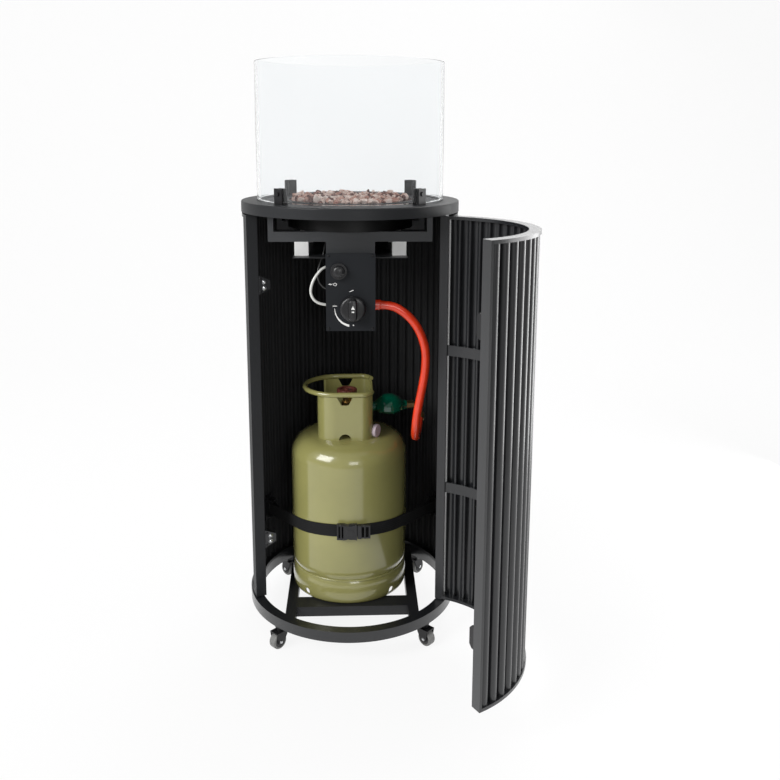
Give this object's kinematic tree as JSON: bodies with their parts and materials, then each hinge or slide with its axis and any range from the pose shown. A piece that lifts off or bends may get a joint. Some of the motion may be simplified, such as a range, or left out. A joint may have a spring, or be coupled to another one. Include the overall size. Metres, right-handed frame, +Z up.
{
  "type": "gas fireplace",
  "caption": "Round outdoor gas fire on castors: glass guard over lava stones, fluted door open on the gas bottle, hose, regulator and controls.",
  "frame": {"origin": "on the floor, on the axis of the round body", "axes": "+Z up along the axis of the body, -Y towards the front where the controls are, +X to the right seen from the front"},
  "size_m": [0.5128, 0.6519, 1.0963],
  "materials": {
    "powder_black": "satin",
    "steel": "satin",
    "bright_steel": "polished",
    "lava": "rough",
    "glass": "polished",
    "clip_black": "satin",
    "ceramic": "matte",
    "panel_black": "matte",
    "brass": "satin",
    "knob_black": "satin",
    "lead_white": "matte",
    "lead_grey": "matte",
    "hose_red": "satin",
    "regulator_green": "gloss",
    "cap_grey": "matte",
    "bottle_olive": "satin",
    "handwheel_red": "satin",
    "webbing": "matte",
    "buckle_black": "satin",
    "catch_black": "satin",
    "castor_grey": "matte"
  },
  "bodies": {
    "cabinet": {"top_ring": "powder_black", "burner_plate": "powder_black", "burner_pan": "steel", "burner_tube": "steel", "gas_feed_pipe": "steel", "flame_probe": "steel", "lava_bed": "lava", "lava_rocks": "lava", "glass_clips": "clip_black", "clip_screws": "bright_steel", "burner_brackets": "powder_black", "heat_shield": "powder_black", "spacer_blocks": "ceramic", "control_panel": "panel_black", "control_housing": "powder_black", "gas_valve": "brass", "igniter_unit": "knob_black", "igniter_lead": "lead_white", "thermocouple_lead": "lead_grey", "gas_hose": "hose_red", "hose_ferrules": "brass", "regulator_coupling": "brass", "regulator_body": "regulator_green", "regulator_outlet": "brass", "outlet_cap": "cap_grey", "bottle_body": "bottle_olive", "bottle_foot": "bottle_olive", "bottle_collar": "bottle_olive", "bottle_handle": "bottle_olive", "bottle_valve": "brass", "bottle_strap": "webbing", "buckle_socket": "buckle_black", "buckle_plug": "buckle_black", "strap_anchors": "powder_black", "shell_panel": "powder_black", "shell_rails": "powder_black", "shell_posts": "powder_black", "shell_spacers": "powder_black", "door_catches": "catch_black", "bottom_ring": "powder_black", "base_frame": "powder_black"},
    "door": {"door_rails": "powder_black", "door_stiles": "powder_black", "door_mid_rails": "powder_black", "door_panel": "powder_black", "door_pivots": "bright_steel", "door_strikes": "powder_black"},
    "glass": {"glass_guard": "glass"},
    "knob_shaft": {"knob_spindle": "steel"},
    "knob": {"gas_knob": "knob_black"},
    "button": {"ignition_button": "bright_steel"},
    "handwheel": {"valve_handwheel": "handwheel_red"},
    "castor_swivel_1": {"castor_fork_1": "bright_steel"},
    "castor_roll_1": {"castor_wheel_1": "castor_grey"},
    "castor_swivel_2": {"castor_fork_2": "bright_steel"},
    "castor_roll_2": {"castor_wheel_2": "castor_grey"},
    "castor_swivel_3": {"castor_fork_3": "bright_steel"},
    "castor_roll_3": {"castor_wheel_3": "castor_grey"},
    "castor_swivel_4": {"castor_fork_4": "bright_steel"},
    "castor_roll_4": {"castor_wheel_4": "castor_grey"}
  },
  "joints": [
    {"name": "door_hinge", "type": "hinge", "parent": "cabinet", "child": "door", "pos_m": [0.17362, -0.08656, 0.446], "axis": [0, 0, 1], "range_deg": [-95, 18]},
    {"name": "glass_lift", "type": "slide", "parent": "cabinet", "child": "glass", "axis": [0, 0, 1], "range_m": [0, 0.25]},
    {"name": "knob_push", "type": "slide", "parent": "cabinet", "child": "knob_shaft", "axis": [0, 1, 0], "range_m": [0, 0.003], "stiffness_N_per_m": 500},
    {"name": "knob_turn", "type": "hinge", "parent": "knob_shaft", "child": "knob", "pos_m": [0.004, -0.155, 0.6635], "axis": [0, -1, 0], "range_deg": [0, 180]},
    {"name": "button_press", "type": "slide", "parent": "cabinet", "child": "button", "axis": [0, 1, 0], "range_m": [0, 0.003], "stiffness_N_per_m": 500},
    {"name": "handwheel_turn", "type": "hinge", "parent": "cabinet", "child": "handwheel", "pos_m": [-0.009, 0.008, 0.462], "axis": [0, 0, 1], "range_deg": [0, 720]},
    {"name": "castor_swivel_1", "type": "hinge", "parent": "cabinet", "child": "castor_swivel_1", "pos_m": [-0.13859, -0.13859, 0.044], "axis": [0, 0, 1], "continuous": true},
    {"name": "castor_roll_1", "type": "hinge", "parent": "castor_swivel_1", "child": "castor_roll_1", "pos_m": [-0.14284, -0.14284, 0.0155], "axis": [0.7071, -0.7071, 0], "continuous": true},
    {"name": "castor_swivel_2", "type": "hinge", "parent": "cabinet", "child": "castor_swivel_2", "pos_m": [0.13859, -0.13859, 0.044], "axis": [0, 0, 1], "continuous": true},
    {"name": "castor_roll_2", "type": "hinge", "parent": "castor_swivel_2", "child": "castor_roll_2", "pos_m": [0.14284, -0.14284, 0.0155], "axis": [0.7071, 0.7071, 0], "continuous": true},
    {"name": "castor_swivel_3", "type": "hinge", "parent": "cabinet", "child": "castor_swivel_3", "pos_m": [0.13859, 0.13859, 0.044], "axis": [0, 0, 1], "continuous": true},
    {"name": "castor_roll_3", "type": "hinge", "parent": "castor_swivel_3", "child": "castor_roll_3", "pos_m": [0.14284, 0.14284, 0.0155], "axis": [-0.7071, 0.7071, 0], "continuous": true},
    {"name": "castor_swivel_4", "type": "hinge", "parent": "cabinet", "child": "castor_swivel_4", "pos_m": [-0.13859, 0.13859, 0.044], "axis": [0, 0, 1], "continuous": true},
    {"name": "castor_roll_4", "type": "hinge", "parent": "castor_swivel_4", "child": "castor_roll_4", "pos_m": [-0.14284, 0.14284, 0.0155], "axis": [-0.7071, -0.7071, 0], "continuous": true}
  ]
}
